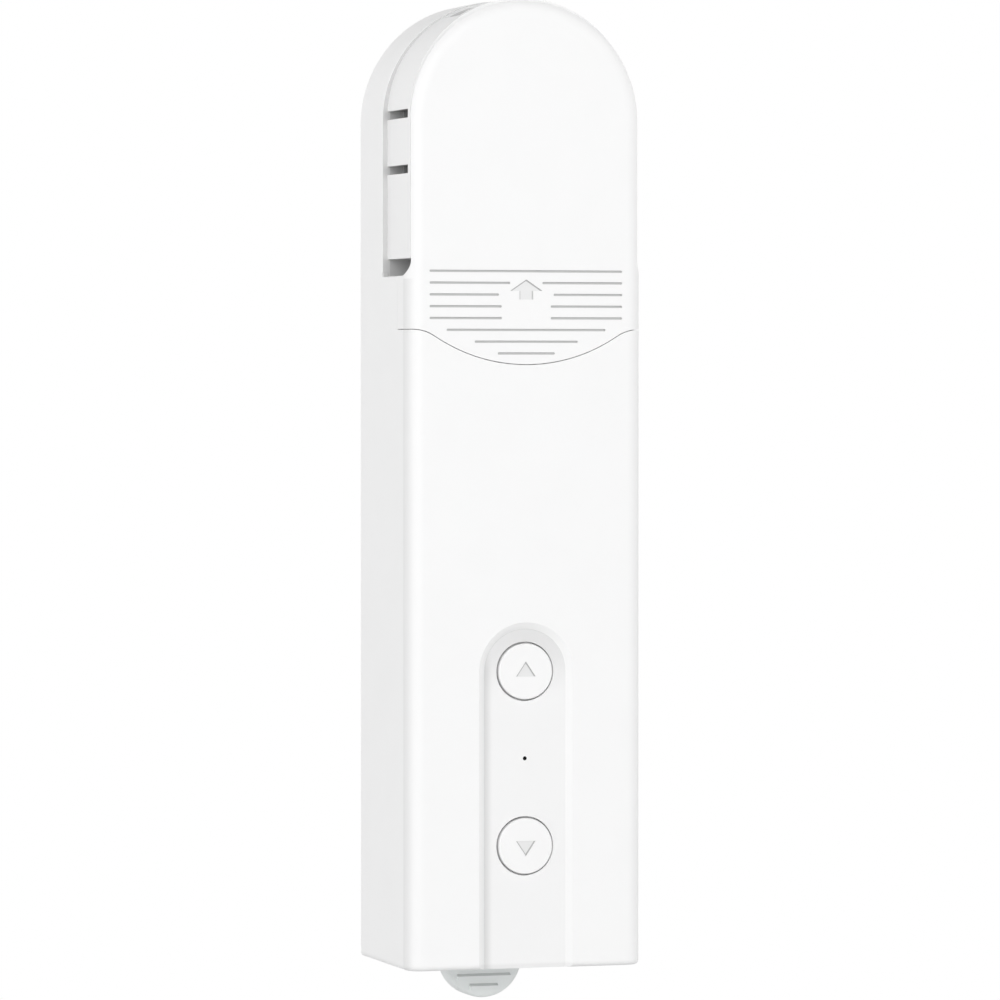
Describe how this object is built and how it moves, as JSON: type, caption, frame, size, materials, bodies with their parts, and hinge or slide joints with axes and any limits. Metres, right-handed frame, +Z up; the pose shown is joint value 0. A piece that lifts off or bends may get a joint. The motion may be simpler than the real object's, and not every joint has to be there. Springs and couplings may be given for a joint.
{
  "type": "roller shade motor",
  "caption": "Slim wall-mounted motor with an arched crown that pulls the bead chain of a roller shade, with a sliding top cover, push buttons and a release tab.",
  "frame": {"origin": "on the wall plane, midway between the two screw holes of the wall bracket", "axes": "+X to the right seen from the room, +Y into the wall, +Z up; the front face looks to -Y"},
  "size_m": [0.048, 0.0345, 0.1981],
  "materials": {
    "white_shell": "fine satin moulded white",
    "grey_plastic": "light grey moulded plastic",
    "dark_plastic": "black moulded plastic",
    "steel": "bright plated steel",
    "gear_plastic": "natural acetal",
    "brass": "turned brass",
    "board_green": "solder mask over glass fibre",
    "cell_wrap": "shrink sleeve",
    "clear_plastic": "clear acrylic"
  },
  "bodies": {
    "housing": {"main_housing": "white_shell", "back_cover": "white_shell", "case_screws": "steel", "chain_guide": "white_shell", "guide_screws": "steel", "shaft_bushes": "brass", "gear_pins": "steel", "gearbox_front_plate": "steel", "gearbox_rear_plate": "steel", "gearbox_pillars": "brass", "gearbox_screws": "steel", "drive_motor": "steel", "motor_screws": "steel", "battery_cells": "cell_wrap", "battery_contacts": "steel", "battery_cradle": "dark_plastic", "circuit_board": "board_green", "board_screws": "steel", "board_chips": "dark_plastic", "charging_socket": "steel", "switch_bodies": "dark_plastic", "indicator_led": "clear_plastic", "light_pipe": "clear_plastic", "wall_bracket": "grey_plastic", "tab_spring": "steel"},
    "cover": {"top_cover": "white_shell"},
    "wheel_train": {"drive_wheel": "gear_plastic", "wheel_screw": "steel", "output_shaft": "steel", "output_gear": "gear_plastic"},
    "second_stage": {"second_gear": "gear_plastic"},
    "first_stage": {"first_gear": "gear_plastic"},
    "rotor": {"motor_shaft": "steel", "motor_pinion": "brass"},
    "up_key": {"up_button": "white_shell", "up_plunger": "dark_plastic"},
    "down_key": {"down_button": "white_shell", "down_plunger": "dark_plastic"},
    "release": {"release_tab": "grey_plastic"}
  },
  "joints": [
    {"name": "cover_slide", "type": "slide", "parent": "housing", "child": "cover", "axis": [0, 0, 1], "range_m": [0, 0.012]},
    {"name": "wheel_spin", "type": "hinge", "parent": "housing", "child": "wheel_train", "pos_m": [0, -0.0245, 0.061], "axis": [0, -1, 0], "continuous": true},
    {"name": "second_gear_spin", "type": "hinge", "parent": "housing", "child": "second_stage", "pos_m": [0, -0.0105, 0.037], "axis": [0, -1, 0], "continuous": true},
    {"name": "first_gear_spin", "type": "hinge", "parent": "housing", "child": "first_stage", "pos_m": [0.00369, -0.0125, 0.02092], "axis": [0, -1, 0], "continuous": true},
    {"name": "motor_spin", "type": "hinge", "parent": "housing", "child": "rotor", "pos_m": [0, -0.0195, 0.007], "axis": [0, -1, 0], "continuous": true},
    {"name": "up_press", "type": "slide", "parent": "housing", "child": "up_key", "axis": [0, 1, 0], "range_m": [0, 0.0004], "stiffness_N_per_m": 800, "springref_m": -0.0006},
    {"name": "down_press", "type": "slide", "parent": "housing", "child": "down_key", "axis": [0, 1, 0], "range_m": [0, 0.0004], "stiffness_N_per_m": 800, "springref_m": -0.0006},
    {"name": "tab_pull", "type": "slide", "parent": "housing", "child": "release", "axis": [0, 0, -1], "range_m": [0, 0.004], "stiffness_N_per_m": 400, "springref_m": -0.002, "deforming": ["tab_spring"]}
  ],
  "couplings": [
    {"joint": "second_gear_spin", "follows": "wheel_spin", "ratio": -4},
    {"joint": "first_gear_spin", "follows": "wheel_spin", "ratio": 18},
    {"joint": "motor_spin", "follows": "wheel_spin", "ratio": -90}
  ]
}
